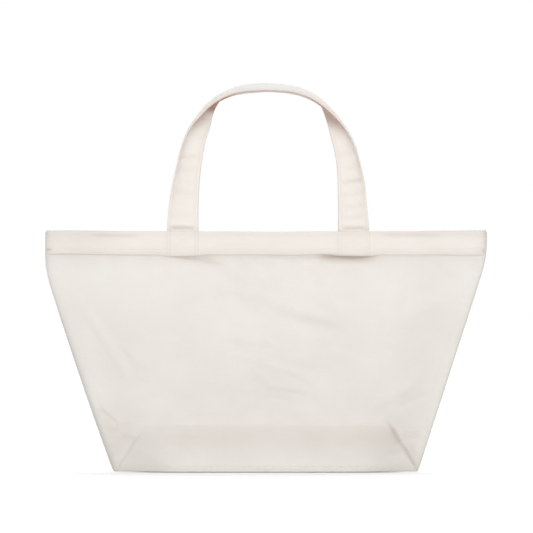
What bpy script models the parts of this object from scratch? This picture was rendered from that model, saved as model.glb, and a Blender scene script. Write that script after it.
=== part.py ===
# Oversized canvas tote bag, standing with its mouth open.
# X runs across the bag, Y from its front to its rear and Z up. Lengths are in metres.
# The origin is the middle of the base, on the floor.

import math

import bmesh
import bpy
from mathutils import Vector

# Body
MOUTH_WIDTH = 0.664          # between the side seams, across the top hem
BASE_WIDTH = 0.457           # lower edge of a panel, corner to corner
BODY_HEIGHT = 0.360          # floor to the folded top edge of the hem
BASE_DEPTH = 0.150           # front panel to rear panel at the floor
BASE_FLAT_LENGTH = 0.228     # middle stretch of the base that lies flat on the floor
MOUTH_DEPTH = 0.110          # front panel to rear panel at the open mouth
HEM_DEPTH = 0.036            # height of the doubled band round the mouth
KNEE_DROP = 0.014            # upright stretch of the side seams below the hem
BINDING_DEPTH = 0.012        # how far the taped side seam reaches into the bag

# Cloth
CLOTH_THICKNESS = 0.0012
LAYER_GAP = 0.0003           # air between two layers that lie on each other
SEAM_LAYERS = 3              # layers of one side that meet in a side seam

# Handles
HANDLE_SPACING = 0.256       # between the middles of one handle's two legs
HANDLE_RISE = 0.2245         # highest edge of the loop above the hem
STRAP_WIDTH = 0.048
STRAP_THICKNESS = 0.003
STRAP_MARGIN = 0.006         # straight hem kept beyond each leg of a handle
SEWN_END_MARGIN = 0.003      # sewn end of the strap above the hem's lower edge
ROLL_GAP = 0.00095           # between the sewn end and the loop that tilts above it
ROLL_CLEARANCE = 0.0009      # between the hem's outer face and the loop folded down over it
LOOP_ROUNDNESS = 2.62        # exponent of the loop's rounded outline, where 2 is an ellipse
APEX_TWIST = math.radians(101.5)  # turn of the strap between the hem and the top of the loop
TWIST_EASE = 14              # how late the turn slows down before the top of the loop

# Stitching
THREAD_RADIUS = 0.0003
ROW_SPACING = 0.0045         # between the two rows of a double seam
HEM_ROW_HEIGHT = 0.003       # lower row above the hem's lower edge
BASE_ROW_HEIGHT = 0.0045     # lower row above the floor
BOX_ROW_GAP = 0.003          # between the hem's upper row and the box stitching
BOX_TOP_MARGIN = 0.003       # between the box stitching and the hem's top edge
STRAP_ROW_INSET = 0.0045     # stitching inside each edge of the strap
STRAP_ROW_START = 0.014      # lowest stitch on the loop above the hem

# Edges
END_ROUNDING = 0.0004

# Counts
TAPER_STEPS = 9
FLAT_STEPS = 1
PANEL_LEVELS = 5
LEG_COLUMNS = 2
CROWN_STEPS = 4
STRAP_STEPS = 18
LOOP_SAMPLES = 240
TAPER_POWER = 1.3            # above 1 the mouth and the base stay wide for longer
MERGE_DISTANCE = 0.00005
SHARP_ANGLE = math.radians(40)

# Worked out from the sizes above
LAYER = CLOTH_THICKNESS + LAYER_GAP
HALF_CLOTH = CLOTH_THICKNESS / 2
SEAM_SETBACK = SEAM_LAYERS * LAYER / 2
HEM_BOTTOM = BODY_HEIGHT - HEM_DEPTH
KNEE_HEIGHT = HEM_BOTTOM - KNEE_DROP
PANEL_TOP = BODY_HEIGHT - HALF_CLOTH - LAYER
MOUTH_FLAT_LENGTH = HANDLE_SPACING + STRAP_WIDTH + 2 * STRAP_MARGIN
HEM_OUTER_FACE = MOUTH_DEPTH / 2 + LAYER + HALF_CLOTH
HEM_INNER_FACE = MOUTH_DEPTH / 2 - LAYER - HALF_CLOTH
STRAP_DEPTH = HEM_INNER_FACE - LAYER_GAP - STRAP_THICKNESS / 2
HINGE_DEPTH = (HEM_OUTER_FACE + ROLL_CLEARANCE + STRAP_THICKNESS / 2 + STRAP_DEPTH) / 2
HINGE_HEIGHT = BODY_HEIGHT + ROLL_GAP
APEX_TILT = APEX_TWIST - math.pi / 2
APEX_HEIGHT = (
    BODY_HEIGHT
    + HANDLE_RISE
    - STRAP_WIDTH / 2 * math.sin(APEX_TILT)
    - STRAP_THICKNESS / 2 * math.cos(APEX_TILT)
)

FRONT = -1
REAR = 1
LEFT = -1
RIGHT = 1


def linear(channel):
    if channel <= 0.04045:
        return channel / 12.92
    return ((channel + 0.055) / 1.055) ** 2.4


def cloth_material(name, red, green, blue, roughness):
    # A matte dyed or natural cloth, its colour given as 0 to 255 sRGB.
    material = bpy.data.materials.new(name)
    material.use_nodes = True
    shader = material.node_tree.nodes["Principled BSDF"]
    colour = [linear(value / 255) for value in (red, green, blue)]
    shader.inputs["Base Color"].default_value = (*colour, 1.0)
    shader.inputs["Roughness"].default_value = roughness
    shader.inputs["Metallic"].default_value = 0.0
    return material


def add_object(name, data, material, collection, pivot=None):
    found = bpy.data.objects.new(name, data)
    data.materials.append(material)
    collection.objects.link(found)
    if pivot is not None:
        found.parent = pivot
    return found


def taper(share):
    # Falls from 1 where the flat stretch ends to 0 at the side seam.
    return (1 + math.cos(math.pi * share**TAPER_POWER)) / 2


def half_outline(flat_length, width, depth):
    # Plan of one panel's right half, from the middle to the side seam, as (x, depth).
    flat, seam = flat_length / 2, width / 2
    points = [Vector((flat * step / FLAT_STEPS, depth / 2)) for step in range(FLAT_STEPS)]
    for step in range(TAPER_STEPS + 1):
        share = step / TAPER_STEPS
        reach = SEAM_SETBACK + (depth / 2 - SEAM_SETBACK) * taper(share)
        points.append(Vector((flat + (seam - flat) * share, reach)))
    return points


BASE_OUTLINE = half_outline(BASE_FLAT_LENGTH, BASE_WIDTH, BASE_DEPTH)
MOUTH_OUTLINE = half_outline(MOUTH_FLAT_LENGTH, MOUTH_WIDTH, MOUTH_DEPTH)


def outline_at(height):
    # The panel is a straight loft from the base to the seams' knee, then upright through the hem.
    share = min(height / KNEE_HEIGHT, 1.0)
    return [low.lerp(high, share) for low, high in zip(BASE_OUTLINE, MOUTH_OUTLINE)]


def offset_outline(points, distance):
    # Moves a plan outline outwards by a distance, mitred at its corners.
    along = Vector((1.0, 0.0))
    moved = []
    for index, point in enumerate(points):
        before = (point - points[index - 1]).normalized() if index else along
        last = index == len(points) - 1
        after = along if last else (points[index + 1] - point).normalized()
        direction = (before + after).normalized()
        normal = Vector((-direction.y, direction.x))
        stretch = 1 if last else 1 / direction.dot(after)
        moved.append(point + normal * distance * stretch)
    return moved


def grid_sheet(name, rows, thickness, material, collection, side=FRONT, mirror_depth=False, pivot=None):
    # An open surface through rows of points, mirrored to the left and given its thickness.
    # Depths in the rows count outwards from the middle of the bag, so side turns them into Y.
    origin = pivot.location if pivot is not None else Vector()
    row_cells, column_cells = len(rows) - 1, len(rows[0]) - 1
    shape = bmesh.new()
    bmesh.ops.create_grid(shape, x_segments=column_cells, y_segments=row_cells, size=1)
    for vertex in shape.verts:
        column = round((vertex.co.x + 1) / 2 * column_cells)
        row = round((vertex.co.y + 1) / 2 * row_cells)
        x, depth, z = rows[row][column]
        vertex.co = Vector((x, side * depth, z)) - origin
    mesh = bpy.data.meshes.new(name)
    shape.to_mesh(mesh)
    shape.free()
    mesh.shade_smooth()
    mesh.set_sharp_from_angle(angle=SHARP_ANGLE)
    found = add_object(name, mesh, material, collection, pivot)
    mirror = found.modifiers.new("Mirror", "MIRROR")
    mirror.use_axis = (True, mirror_depth, False)
    mirror.merge_threshold = MERGE_DISTANCE
    solidify = found.modifiers.new("Solidify", "SOLIDIFY")
    solidify.thickness = thickness
    solidify.offset = 0.0
    solidify.use_even_offset = True
    return found


def panel(name, side, material, collection):
    rise = (KNEE_HEIGHT - LAYER_GAP) / PANEL_LEVELS
    heights = [LAYER_GAP + rise * level for level in range(PANEL_LEVELS + 1)]
    rows = []
    for height in heights + [PANEL_TOP]:
        rows.append([(point.x, point.y, height) for point in outline_at(height)])
    grid_sheet(name, rows, CLOTH_THICKNESS, material, collection, side)


def base_gusset(name, material, collection):
    # Flat in the middle of the base. Towards the seams its two halves rise into an upside-down V,
    # until they stand between the panels with the middle fold at its highest.
    fold = LAYER / 2
    inset = HALF_CLOTH + LAYER_GAP
    leg_length = BASE_DEPTH / 2 - inset - fold
    level_outline = offset_outline(BASE_OUTLINE, -inset)
    rows = []
    for base, level in zip(BASE_OUTLINE, level_outline):
        lean = math.acos(min(1.0, max(0.0, (level.y - fold) / leg_length)))
        foot = level + (level - base).normalized() * HALF_CLOTH * math.sin(lean)
        rise = math.sqrt(max(0.0, leg_length**2 - (foot.y - fold) ** 2))
        foot_height = HALF_CLOTH * math.cos(lean)
        row = []
        for column in range(LEG_COLUMNS + 1):
            share = column / LEG_COLUMNS
            height = foot_height + rise * share
            row.append((seam_slant(foot.x, height), foot.y + (fold - foot.y) * share, height))
        ridge = foot_height + rise + fold * math.sin(lean)
        row.append((seam_slant(foot.x, ridge), 0.0, ridge))
        rows.append(row)
    grid_sheet(name, rows, CLOTH_THICKNESS, material, collection, mirror_depth=True)
    return max(row[-1][2] for row in rows)


def seam_half_width(height):
    share = min(height / KNEE_HEIGHT, 1.0)
    return (BASE_WIDTH + (MOUTH_WIDTH - BASE_WIDTH) * share) / 2


def seam_slant(x, height):
    # Carries a place on the base up to a height, fanning out with the side seams.
    return x * seam_half_width(height) / seam_half_width(0.0)


def top_hem(name, side, material, collection):
    # A band folded over the panel's top edge: down the outside, over the top, down the inside.
    middle = outline_at(BODY_HEIGHT)
    outer, inner = offset_outline(middle, LAYER), offset_outline(middle, -LAYER)
    rows = [[(point.x, point.y, HEM_BOTTOM) for point in outer]]
    for step in range(CROWN_STEPS + 1):
        angle = math.pi * step / CROWN_STEPS
        height = PANEL_TOP + LAYER * math.sin(angle)
        across = (1 - math.cos(angle)) / 2
        crown = [start.lerp(end, across) for start, end in zip(outer, inner)]
        rows.append([(point.x, point.y, height) for point in crown])
    rows.append([(point.x, point.y, HEM_BOTTOM) for point in inner])
    grid_sheet(name, rows, CLOTH_THICKNESS, material, collection, side)


def seam_binding(name, hand, bottom, material, collection):
    # A tape round the seam allowances, standing between the panels inside the bag.
    heights = (bottom, KNEE_HEIGHT, HEM_BOTTOM - LAYER_GAP)
    shape = bmesh.new()
    bmesh.ops.create_grid(shape, x_segments=1, y_segments=len(heights) - 1, size=1)
    for vertex in shape.verts:
        height = heights[round(vertex.co.y) + 1]
        inwards = BINDING_DEPTH if vertex.co.x < 0 else 0.0
        vertex.co = Vector((hand * (seam_half_width(height) - inwards), 0.0, height))
    mesh = bpy.data.meshes.new(name)
    shape.to_mesh(mesh)
    shape.free()
    found = add_object(name, mesh, material, collection)
    solidify = found.modifiers.new("Solidify", "SOLIDIFY")
    solidify.thickness = 2 * (SEAM_SETBACK - HALF_CLOTH - LAYER_GAP)
    solidify.offset = 0.0


def loop_path():
    # Middle line of the right half of a handle loop, from the hem up to its top, in even steps.
    rise = APEX_HEIGHT - HINGE_HEIGHT
    power = 2 / LOOP_ROUNDNESS
    fine = []
    for sample in range(LOOP_SAMPLES + 1):
        angle = math.pi / 2 * sample / LOOP_SAMPLES
        x = HANDLE_SPACING / 2 * max(0.0, math.cos(angle)) ** power
        fine.append(Vector((x, HINGE_HEIGHT + rise * math.sin(angle) ** power)))
    fine[-1].x = 0.0
    travelled = [0.0]
    for start, end in zip(fine, fine[1:]):
        travelled.append(travelled[-1] + (end - start).length)
    points, index = [], 0
    for step in range(STRAP_STEPS + 1):
        wanted = travelled[-1] * step / STRAP_STEPS
        while index < LOOP_SAMPLES - 1 and travelled[index + 1] < wanted:
            index += 1
        share = (wanted - travelled[index]) / (travelled[index + 1] - travelled[index])
        points.append(fine[index].lerp(fine[index + 1], share))
    points[-1] = fine[-1]
    return points, travelled[-1]


LOOP_POINTS, LOOP_LENGTH = loop_path()


def strap_place(step, across, lift):
    # A place on the right half of the loop, as (x, depth, z). The strap leaves the hem flat to the
    # front and turns until its outer edge faces forwards at the top. Across counts towards the outer
    # edge and lift off the face that looks forwards at the hem.
    share = step / STRAP_STEPS
    below = LOOP_POINTS[max(step - 1, 0)]
    above = LOOP_POINTS[min(step + 1, STRAP_STEPS)]
    along = (above - below).normalized()
    if step == 0:
        along = Vector((0.0, 1.0))
    if step == STRAP_STEPS:
        along = Vector((-1.0, 0.0))
    twist = APEX_TWIST * (share - share**TWIST_EASE / TWIST_EASE) / (1 - 1 / TWIST_EASE)
    outwards = Vector((along.y, 0.0, -along.x))
    forwards = Vector((0.0, 1.0, 0.0))
    edge = outwards * math.cos(twist) + forwards * math.sin(twist)
    face = forwards * math.cos(twist) - outwards * math.sin(twist)
    middle = Vector((LOOP_POINTS[step].x, STRAP_DEPTH, LOOP_POINTS[step].y))
    return middle + edge * across + face * lift


def handle_loop(name, side, pivot, material, collection):
    # The mesh has a line of corners under each row of stitching, so the thread lies along it.
    edge, row = STRAP_WIDTH / 2, STRAP_WIDTH / 2 - STRAP_ROW_INSET
    rows = []
    for step in range(STRAP_STEPS + 1):
        rows.append([strap_place(step, across, 0.0) for across in (-edge, -row, 0.0, row, edge)])
    for place in rows[-1]:
        place.x = 0.0
    grid_sheet(name, rows, STRAP_THICKNESS, material, collection, side, pivot=pivot)


def handle_end(name, side, hand, material, collection):
    # The same strap below the hem's top edge, sewn flat to the inner face of the hem.
    bottom = HEM_BOTTOM + SEWN_END_MARGIN
    shape = bmesh.new()
    bmesh.ops.create_cube(shape, size=1)
    bmesh.ops.scale(shape, vec=(STRAP_WIDTH, STRAP_THICKNESS, BODY_HEIGHT - bottom), verts=shape.verts)
    mesh = bpy.data.meshes.new(name)
    shape.to_mesh(mesh)
    shape.free()
    found = add_object(name, mesh, material, collection)
    found.location = (hand * HANDLE_SPACING / 2, side * STRAP_DEPTH, (BODY_HEIGHT + bottom) / 2)
    bevel = found.modifiers.new("Bevel", "BEVEL")
    bevel.width = END_ROUNDING
    bevel.segments = 1


def thread_loop(name, points, side, material, collection, pivot=None):
    # One thread that runs out along one row and back along the other.
    origin = pivot.location if pivot is not None else Vector()
    curve = bpy.data.curves.new(name, "CURVE")
    curve.dimensions = "3D"
    curve.bevel_depth = THREAD_RADIUS
    curve.bevel_resolution = 0
    spline = curve.splines.new("POLY")
    spline.points.add(len(points) - 1)
    for slot, (x, depth, z) in zip(spline.points, points):
        place = Vector((x, side * depth, z)) - origin
        slot.co = (*place, 1.0)
    spline.use_cyclic_u = True
    add_object(name, curve, material, collection, pivot)


def mirrored_row(points):
    # A row of places on the right half, from the middle outwards, as one run from left to right.
    left = [(-x, depth, z) for x, depth, z in reversed(points) if x > 0]
    return left + list(points)


def double_row(outline, low):
    # Two rows along an outline, joined at their ends, stopping one place short of the seam.
    rows = []
    for height in (low, low + ROW_SPACING):
        rows.append(mirrored_row([(point.x, point.y, height) for point in outline(height)[:-1]]))
    return rows[0] + rows[1][::-1]


def hem_stitching(name, side, material, collection):
    lift = LAYER + HALF_CLOTH + LAYER_GAP + THREAD_RADIUS

    def outline(height):
        return offset_outline(outline_at(height), lift)

    thread_loop(name, double_row(outline, HEM_BOTTOM + HEM_ROW_HEIGHT), side, material, collection)


def base_stitching(name, side, material, collection):
    lift = HALF_CLOTH + LAYER_GAP + THREAD_RADIUS

    def outline(height):
        return offset_outline(outline_at(height), lift)

    thread_loop(name, double_row(outline, BASE_ROW_HEIGHT), side, material, collection)


def strap_stitching(name, side, pivot, material, collection):
    step_length = LOOP_LENGTH / STRAP_STEPS
    first = math.ceil(STRAP_ROW_START / step_length)
    lift = STRAP_THICKNESS / 2 + LAYER_GAP + THREAD_RADIUS
    runs = []
    for across in (STRAP_WIDTH / 2 - STRAP_ROW_INSET, STRAP_ROW_INSET - STRAP_WIDTH / 2):
        right = [strap_place(step, across, lift) for step in range(first, STRAP_STEPS)]
        top = strap_place(STRAP_STEPS, across, lift)
        right.append(Vector((0.0, top.y, top.z)))
        left = [Vector((-place.x, place.y, place.z)) for place in right[-2::-1]]
        runs.append(right + left)
    thread_loop(name, runs[0] + runs[1][::-1], side, material, collection, pivot)


def rectangle(half_width, half_height):
    return [
        (-half_width, -half_height),
        (half_width, -half_height),
        (half_width, half_height),
        (-half_width, half_height),
    ]


def box_stitching(name, side, hand, material, collection):
    # A sewn frame with a cross in it, drawn as a flat plate with four three-sided openings.
    stroke = 2 * THREAD_RADIUS
    bottom = HEM_BOTTOM + HEM_ROW_HEIGHT + ROW_SPACING + BOX_ROW_GAP
    top = BODY_HEIGHT - BOX_TOP_MARGIN
    half_width = STRAP_WIDTH / 2 - STRAP_ROW_INSET
    half_height = (top - bottom) / 2
    inner_width, inner_height = half_width - stroke, half_height - stroke
    diagonal = math.hypot(inner_width, inner_height)
    rise = stroke / 2 * diagonal / inner_width
    run = stroke / 2 * diagonal / inner_height
    upper = [(0.0, rise), (inner_width - run, inner_height), (run - inner_width, inner_height)]
    right = [(run, 0.0), (inner_width, rise - inner_height), (inner_width, inner_height - rise)]
    lower = [(-x, -y) for x, y in upper]
    left = [(-x, -y) for x, y in right]
    curve = bpy.data.curves.new(name, "CURVE")
    curve.dimensions = "2D"
    curve.fill_mode = "BOTH"
    curve.extrude = THREAD_RADIUS
    for corners in (rectangle(half_width, half_height), upper, right, lower, left):
        spline = curve.splines.new("POLY")
        spline.points.add(len(corners) - 1)
        for slot, (x, y) in zip(spline.points, corners):
            slot.co = (x, y, 0.0, 1.0)
        spline.use_cyclic_u = True
    found = add_object(name, curve, material, collection)
    found.rotation_euler.x = math.pi / 2
    depth = HEM_OUTER_FACE + LAYER_GAP + THREAD_RADIUS
    found.location = (hand * HANDLE_SPACING / 2, side * depth, (top + bottom) / 2)


def handle_pivot(name, side, collection):
    # The loop swings about a line just above the hem's top edge.
    pivot = bpy.data.objects.new(name, None)
    pivot.location = (0.0, side * HINGE_DEPTH, HINGE_HEIGHT)
    collection.objects.link(pivot)
    return pivot


def build_bag():
    for leftover in list(bpy.data.objects):
        bpy.data.objects.remove(leftover)
    parts = bpy.data.collections.new("oversized_tote_bag")
    bpy.context.scene.collection.children.link(parts)

    panel_canvas = cloth_material("Panel canvas", 233, 228, 221, 0.9)
    gusset_canvas = cloth_material("Gusset canvas", 229, 223, 216, 0.9)
    hem_canvas = cloth_material("Hem canvas", 238, 232, 225, 0.9)
    strap_canvas = cloth_material("Strap canvas", 241, 235, 228, 0.88)
    binding_tape = cloth_material("Binding tape", 236, 229, 218, 0.92)
    cotton_thread = cloth_material("Cotton thread", 240, 234, 226, 0.7)

    gusset_top = base_gusset("base_gusset", gusset_canvas, parts)
    binding_bottom = gusset_top + CLOTH_THICKNESS + LAYER_GAP
    for word, hand in (("left", LEFT), ("right", RIGHT)):
        seam_binding(f"{word}_side_seam_binding", hand, binding_bottom, binding_tape, parts)
    for word, side in (("front", FRONT), ("rear", REAR)):
        panel(f"{word}_panel", side, panel_canvas, parts)
        top_hem(f"{word}_top_hem", side, hem_canvas, parts)
        hem_stitching(f"{word}_hem_stitching", side, cotton_thread, parts)
        base_stitching(f"{word}_base_stitching", side, cotton_thread, parts)
        pivot = handle_pivot(f"{word}_handle_pivot", side, parts)
        handle_loop(f"{word}_handle", side, pivot, strap_canvas, parts)
        strap_stitching(f"{word}_handle_stitching", side, pivot, cotton_thread, parts)
        for end, hand in (("left", LEFT), ("right", RIGHT)):
            handle_end(f"{word}_handle_end_{end}", side, hand, strap_canvas, parts)
            box_stitching(f"{word}_box_stitching_{end}", side, hand, cotton_thread, parts)


build_bag()
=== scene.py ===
from functools import partial
from math import cos, hypot, pi, radians, sin

import bpy
import numpy as np
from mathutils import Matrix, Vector, noise


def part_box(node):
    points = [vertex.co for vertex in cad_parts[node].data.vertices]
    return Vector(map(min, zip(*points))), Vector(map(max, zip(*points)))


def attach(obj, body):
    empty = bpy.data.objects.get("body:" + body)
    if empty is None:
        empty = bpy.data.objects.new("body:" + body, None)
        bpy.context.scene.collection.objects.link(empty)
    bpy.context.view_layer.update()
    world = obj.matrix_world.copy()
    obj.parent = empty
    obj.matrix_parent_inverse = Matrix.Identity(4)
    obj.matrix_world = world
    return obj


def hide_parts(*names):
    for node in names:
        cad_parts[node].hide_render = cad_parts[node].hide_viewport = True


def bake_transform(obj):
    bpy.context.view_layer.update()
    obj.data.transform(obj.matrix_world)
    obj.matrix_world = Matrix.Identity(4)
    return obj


# Oversized cotton canvas tote bag, standing with its mouth open. Metres, +Z up, front at -Y.
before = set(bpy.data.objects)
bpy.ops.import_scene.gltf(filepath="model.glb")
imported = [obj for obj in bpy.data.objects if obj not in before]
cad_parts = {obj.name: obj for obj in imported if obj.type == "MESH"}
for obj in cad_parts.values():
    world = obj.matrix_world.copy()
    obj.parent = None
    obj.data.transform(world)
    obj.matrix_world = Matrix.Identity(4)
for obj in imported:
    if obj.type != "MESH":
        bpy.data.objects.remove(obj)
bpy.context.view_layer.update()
print("frame loaded:", len(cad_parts), "solids")

front, rear = -1, 1
left, right = -1, 1
sideNames = {front: "front", rear: "rear"}
handNames = {left: "left", right: "right"}
mm = 0.001

# Shape of the body, as it was cut and sewn
bag = {
    "mouthHalf": 0.332,  # middle to side seam at the mouth
    "baseHalf": 0.2285,  # middle to corner at the floor
    "mouthFlat": 0.158,  # half of the mouth's straight part
    "baseFlat": 0.114,
    "mouthReach": 0.055,  # middle of the bag to a panel
    "baseReach": 0.075, "top": 0.36, "hemBottom": 0.325,
    "knee": (0.2995, 0.3215),  # the side seams stand upright above this
    "kneeMiddle": 0.31,
    "kneeEase": 0.07,  # its rounding, as a share of its height
    "cloth": 0.0012,
    "layer": 0.0015,  # one cloth and the air beside it
    "seamReach": 0.0027,  # cloth from the seam plane, beside the seam
    "seamInset": 0.0016,  # the rolled seam stands this far out
    "footInset": 0.0018,  # the turned foot draws the lowest part in
    "footFade": 0.004,
    # Height, and how much narrower the bag came out there, left and right
    "drawnIn": [(0, -0.0004, 0.0016), (0.06, -0.0013, 0.0016), (0.13, -0.0014, 0.0015),
                (0.21, -0.0004, 0.0014), (0.27, 0.0012, 0.0015), (0.295, 0.0019, 0.0017),
                (0.318, 0.0014, 0.002), (0.36, 0.0014, 0.0016)],
    "taperPower": 1.3,
    "flatShare": 0.46,  # share of the columns that the straight part takes
}
cloth, layer, hemBottom = bag["cloth"], bag["layer"], bag["hemBottom"]
panelTop = bag["top"] - cloth / 2 - layer


def ease(low, high, value):
    # 0 at low, 1 at high, eased at both ends
    share = np.clip((value - low) / (high - low), 0, 1)
    return share * share * (3 - 2 * share)


def hill(value, middle, width):
    return np.exp(-(((value - middle) / width) ** 2))


def softMin(value, limit, rounding):
    near = np.clip(rounding - abs(value - limit), 0, None)
    return np.minimum(value, limit) - near**2 / (4 * rounding)


def mix(low, high, share):
    return low + (high - low) * share


def byHand(x, pair):
    # A pair's first value left of the middle, its second right of it
    return np.where(x < 0, *pair)


def points(x, y, z):
    return np.stack(np.broadcast_arrays(x, y, z), -1)


def unit(vectors):
    return vectors / np.maximum(np.linalg.norm(vectors, axis=-1, keepdims=True), 1e-12)


def cloudy(x, y, cell, seed):
    # Smooth noise from -1 to 1, a cell across
    flatX, flatY = np.broadcast_arrays(x, y)
    found = [noise.noise(Vector((a / cell, b / cell, seed))) for a, b in zip(flatX.ravel(), flatY.ravel())]
    return np.array(found).reshape(flatX.shape)


def layered(x, y, layers, seed=0):
    # Adds up cloudy layers of (height, cell, seed, stretch of x, stretch of y)
    return sum(height * cloudy(x * stretchX, y * stretchY, cell, seed + more)
               for height, cell, more, stretchX, stretchY in layers)


def foldLines(x, z, lines):
    # Straight soft folds that fade out at their ends: x, z, x, z and half width in millimetres, then height
    total = 0 * x
    for x0, z0, x1, z1, width, height in lines:
        length = hypot(x1 - x0, z1 - z0)
        alongX, alongZ = (x1 - x0) / length, (z1 - z0) / length
        along = ((x / mm - x0) * alongX + (z / mm - z0) * alongZ) / length
        across = (z / mm - z0) * alongX - (x / mm - x0) * alongZ
        ends = ease(-0.12, 0.18, along) * (1 - ease(0.75, 1.1, along))
        total += height * hill(across, 0, width) * ends
    return total


def curveThrough(at, knots, column):
    # A smooth curve through one column of a table, whose first column is the place
    table = np.array(knots, float)
    places, values = table[:, 0], table[:, column]
    slopes = np.gradient(values, places)
    index = np.clip(np.searchsorted(places, at, side="right") - 1, 0, len(places) - 2)
    gap = places[index + 1] - places[index]
    t = np.clip((at - places[index]) / gap, 0, 1)
    rise = values[index + 1] - values[index]
    start, end = slopes[index] * gap, slopes[index + 1] * gap
    return values[index] + t * start + t**2 * (3 * rise - 2 * start - end) + t**3 * (start + end - 2 * rise)


# Folds and creases of the panels, for foldLines, with outward heights in millimetres
folds = {
    front: [
        (-140, 323.6, -58, 307.2, 4.6, -3.4), (-72, 284, 125, 227, 18.5, 7.8),
        (-60, 267.5, 40, 238.5, 9, -2), (14, 232, 116, 210, 8.3, -2.4),
        (118, 318, 40, 270, 17, 4), (74, 262, 206, 186, 11, -2.1),
        (-46, 178, 56, 146, 6.6, 3.1), (-56, 191, 18, 184, 5.3, -2.7),
        (0, 130, 62, 121.5, 4.1, 1.8), (4, 124.5, 58, 116.5, 4.1, -1.2),
        (-10, 206, 70, 196, 8, 1.4), (-15, 187, 90, 176, 20, 5.6),
        (-283, 262, -197, 130, 6.2, 1.7), (-262, 252, -186, 140, 8.3, -0.9),
        (-180, 262, -72, 208, 12, -1.7), (-208, 186, -96, 104, 10.1, 2.1),
        (262, 258, 166, 208, 10.1, 2.4), (228, 140, 146, 88, 7.4, 1.9),
        (246, 120, 190, 94, 5.5, -1.3), (-252, 94, -220, 68, 4.6, -3),
        (-236, 64, -196, 80, 4.6, 1.5), (-223.5, 2, -190, 56, 2.6, -1.6),
        (225.5, 2, 179, 80, 3, -2.8), (198, 52.5, 231, 58.5, 3, -1.6),
        (212, 30, 176, 24, 5, -0.8), (9, 264, 90, 238, 7, -1.7),
        (-10, 172, 82, 148, 7.2, -1.7), (-108, 212, -16, 188, 10, 1.5),
        (-174, 182, -76, 144, 11, -1.1), (126, 257, 230, 212, 12, 1.2),
        (-56, 116, 96, 99, 8.5, -1.8), (-130, 100, -8, 83, 8, 1.4),
        (50, 198, 142, 178, 6.4, -1.4),
    ],
    rear: [
        (120, 322, -90, 205, 18, 2), (-128, 318, -205, 160, 20, 1.8),
        (295, 290, 165, 200, 22, 1.8), (-300, 300, -160, 240, 20, -1.4),
        (40, 150, -130, 105, 22, 1.4), (220, 10, 176, 74, 5, -2.2),
        (-222, 8, -168, 88, 4.6, -2.6),
    ],
}
band = {
    "top": 0.0705,  # the stored bag's gusset folds up to here
    "foot": (0.2235, 0.2258),  # its slanted edges at the floor
    "crown": (0.182, 0.1872),  # and at its upper fold
    "step": 0.0005,  # the pressed layers stand this proud
    "edge": 0.0038,
    "waver": 0.0016,  # the upper fold isn't quite straight
    "ridge": 0.0003,
    "faintLeft": 0.55,  # pressed less hard at the left end
}
handle = {
    "spacing": 0.2555,  # between the middles of the two legs
    "shift": 0.0028,  # sewn on a little to the right
    "width": 0.0464, "thickness": 0.003,
    "depth": 0.0511,  # middle of the bag to the sewn end
    "hinge": 0.36095, "hingeDepth": 0.0553,
    "top": 0.5753,  # middle line of the loop at its highest
    "roundness": 3.058,
    # Height, and the loop's lean to the right there
    "sway": [(0.4, 0), (0.437, 0.0007), (0.464, 0.0013), (0.491, 0.0011), (0.512, 0.0004),
             (0.53, -0.0002), (0.5435, -0.0014), (0.566, -0.0028), (0.58, -0.004)],
    "sewnBottom": 0.327, "stitchInset": 0.0045,
    "blendFrom": 0.3585,  # sewn down below this, swinging above blendTo
    "blendTo": 0.3745,
}
halfStrap = handle["width"] / 2
legs = [handle["shift"] + hand * handle["spacing"] / 2 for hand in (left, right)]

# How the washed cloth lies between its folds
lie = {
    "seed": {front: 3.7, rear: 21.4},
    "slant": (0.91, 0.42),  # most creases fall to the right
    "belly": 0.0045, "bellyTop": 0.3, "bellyEnd": 0.34,
    "hollow": 0.0052,  # between the handles, just below the hem
    "hollowAt": (0.304, 0.036),
    "soft": [(0.002, 0.105, 0, 0.7, 1.3), (0.0018, 0.046, 5, 0.6, 1.3)],
    "fine": [(0.0007, 0.017, 9, 0.5, 1.3)],
    "grain": [(0.00014, 0.007, 13, 1, 1)],
    "crumple": 0.0008,  # sharp little ridges, in patches
    "calm": 0.8,  # the ends crease less, the loose middle more
    "looseSoft": 2.1, "looseFine": 1.85,
    "ripple": 0.00028,  # where the side seams gather the cloth
    "ripplePitch": 0.0021,
    "gather": 0.00014,  # along the two rows of stitching at the base
    "gatherPitch": 0.0019, "row": 0.00028,
    "wave": [(0.0012, 0.11, 23, 1, 1), (0.0007, 0.028, 27, 1, 1.6)],
}
baseRows = [0.0045, 0.009]
# Hollows that the handles pull below the hem: place, slant, depth and half length
underHem = {
    front: [(-0.108, 0.9, 0.0006, 0.036), (0.119, 0.15, 0.005, 0.056)],
    rear: [(-0.128, -0.3, 0.0032, 0.036), (0.122, 0.6, 0.0028, 0.036)],
}


def nearLeg(x, near, far):
    return sum(1 - ease(near, far, abs(x - leg)) for leg in legs)


def bandEdge(x, z):
    # Middle of the bag to the slanted edge of the pressed band
    return mix(byHand(x, band["foot"]), byHand(x, band["crown"]), z / band["top"])


def inBand(x, z):
    # 1 inside the band that the folded gusset pressed into the panel
    edge = band["edge"]
    crest = band["top"] + band["waver"] * cloudy(x, 0 * z, 0.07, 91)
    sideways = 1 - ease(-edge, edge, abs(x) - bandEdge(x, z))
    upwards = 1 - ease(-edge, edge, z - crest)
    return sideways * upwards * mix(band["faintLeft"], 1, ease(-0.165, -0.085, x))


def pulledIn(side, x, z, core):
    # Depth of the hollows in underHem. core is the share that has the full depth.
    total = 0
    for place, slant, depth, reach in underHem[side]:
        away = abs(x - place - slant * (hemBottom - z))
        total += depth * (1 - ease(reach * core, reach, away))
    return total


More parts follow.
